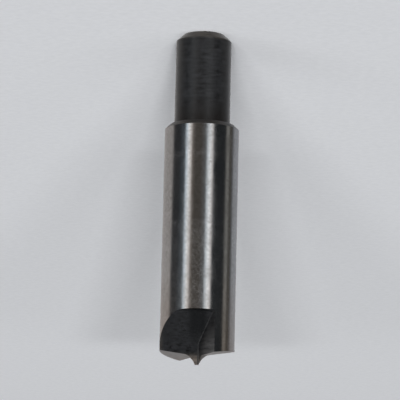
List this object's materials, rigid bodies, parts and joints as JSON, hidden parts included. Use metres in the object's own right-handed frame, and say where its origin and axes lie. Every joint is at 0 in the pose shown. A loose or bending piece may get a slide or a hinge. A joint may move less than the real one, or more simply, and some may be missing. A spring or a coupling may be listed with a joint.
{
  "type": "spot weld cutter",
  "caption": "Short solid drill-type cutter with a stepped shank, opposed flat lips and a small hollow-ground pilot point, for cutting out spot welds.",
  "frame": {"origin": "centre of the flat shank end, on which the tool stands", "axes": "+Z along the tool's axis to the pilot tip, -Y the side that the front gash opens to"},
  "size_m": [0.008, 0.008, 0.036],
  "materials": {
    "ground_steel": "ground bright body and lips, black oxide shank and gashes"
  },
  "bodies": {
    "root": {"spot_weld_cutter": "ground_steel"}
  },
  "joints": []
}
